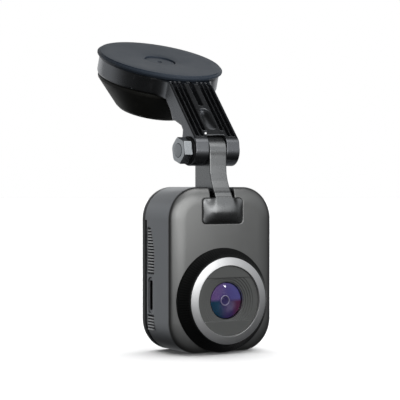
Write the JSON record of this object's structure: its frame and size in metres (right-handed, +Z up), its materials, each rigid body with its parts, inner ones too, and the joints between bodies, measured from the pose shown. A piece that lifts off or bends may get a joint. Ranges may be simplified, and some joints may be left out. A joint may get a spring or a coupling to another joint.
{
  "type": "dash camera",
  "caption": "Compact dash camera with a round ribbed lens barrel, hung by a tilting bracket from a twist-lock suction cup mount.",
  "frame": {"origin": "centre of the suction cup's face, in the plane of its sealing rim", "axes": "+Z up, lens faces -Y, +X to the right as seen from in front of the camera's back"},
  "size_m": [0.0574, 0.0895, 0.1377],
  "materials": {
    "cup_rubber": "soft matte",
    "mount_plastic": "fine satin",
    "knob_plastic": "matte",
    "bolt_steel": "zinc plated",
    "washer_black": "matte",
    "bracket_grey": "satin",
    "cover_grey": "metallic satin",
    "housing_grey": "satin",
    "bezel_black": "fine texture",
    "barrel_black": "ribbed satin",
    "ring_silver": "satin anodised",
    "fascia_grey": "satin",
    "lens_glass": "coated, clear",
    "cell_black": "matte",
    "board_green": "solder mask",
    "chip_black": "matte",
    "battery_foil": "foil",
    "part_steel": "plated",
    "ribbon_amber": "film",
    "screen_glass": "gloss",
    "light_clear": "frosted",
    "key_grey": "satin"
  },
  "bodies": {
    "mount": {"suction_cup": "cup_rubber", "mount_arm": "mount_plastic", "hinge_bolt": "bolt_steel", "hinge_nut": "bolt_steel", "hinge_washer": "washer_black", "knob_clip": "part_steel"},
    "knob": {"lock_knob": "knob_plastic"},
    "stem": {"draw_stem": "mount_plastic", "stem_pin": "bolt_steel"},
    "camera": {"camera_bracket": "bracket_grey", "bracket_retainer": "part_steel", "bracket_screws": "part_steel", "front_cover": "cover_grey", "rear_housing": "housing_grey", "rear_bezel": "bezel_black", "case_screws": "bolt_steel", "lens_barrel": "barrel_black", "lens_trim_ring": "ring_silver", "lens_fascia": "fascia_grey", "front_lens": "lens_glass", "lens_cell": "cell_black", "inner_lenses": "lens_glass", "lens_holder": "cell_black", "image_sensor": "chip_black", "sensor_board": "board_green", "sensor_screws": "part_steel", "barrel_lock_ring": "cell_black", "main_board": "board_green", "board_screws": "part_steel", "processor": "chip_black", "battery": "battery_foil", "speaker": "chip_black", "microphone": "part_steel", "card_socket": "part_steel", "usb_socket": "part_steel", "side_switch": "chip_black", "key_board": "board_green", "key_switches": "part_steel", "display_panel": "chip_black", "display_window": "screen_glass", "display_ribbon": "ribbon_amber", "status_light": "light_clear"},
    "menu_key": {"menu_key": "key_grey"},
    "up_key": {"up_key": "key_grey"},
    "down_key": {"down_key": "key_grey"},
    "ok_key": {"ok_key": "key_grey"},
    "power_button": {"power_button": "key_grey"},
    "memory_card": {"memory_card": "chip_black"}
  },
  "joints": [
    {"name": "camera_tilt", "type": "hinge", "parent": "mount", "child": "camera", "pos_m": [0, -0.0445, -0.0426], "axis": [1, 0, 0], "range_deg": [-50, 65]},
    {"name": "knob_twist", "type": "hinge", "parent": "mount", "child": "knob", "pos_m": [0, 0, 0], "axis": [0, -0.342, 0.9397], "range_deg": [0, 90]},
    {"name": "stem_draw", "type": "slide", "parent": "mount", "child": "stem", "axis": [0, 0.342, -0.9397], "range_m": [0, 0.0025]},
    {"name": "menu_key_press", "type": "slide", "parent": "camera", "child": "menu_key", "axis": [0, -1, 0], "range_m": [0, 0.0005], "stiffness_N_per_m": 300, "springref_m": -0.0005},
    {"name": "up_key_press", "type": "slide", "parent": "camera", "child": "up_key", "axis": [0, -1, 0], "range_m": [0, 0.0005], "stiffness_N_per_m": 300, "springref_m": -0.0005},
    {"name": "down_key_press", "type": "slide", "parent": "camera", "child": "down_key", "axis": [0, -1, 0], "range_m": [0, 0.0005], "stiffness_N_per_m": 300, "springref_m": -0.0005},
    {"name": "ok_key_press", "type": "slide", "parent": "camera", "child": "ok_key", "axis": [0, -1, 0], "range_m": [0, 0.0005], "stiffness_N_per_m": 300, "springref_m": -0.0005},
    {"name": "power_button_press", "type": "slide", "parent": "camera", "child": "power_button", "axis": [-1, 0, 0], "range_m": [0, 0.0004], "stiffness_N_per_m": 300, "springref_m": -0.0005},
    {"name": "card_slide", "type": "slide", "parent": "camera", "child": "memory_card", "axis": [-1, 0, 0], "range_m": [0, 0.016]}
  ],
  "couplings": [
    {"joint": "stem_draw", "follows": "knob_twist", "m_per_rad": 0.0015915}
  ]
}
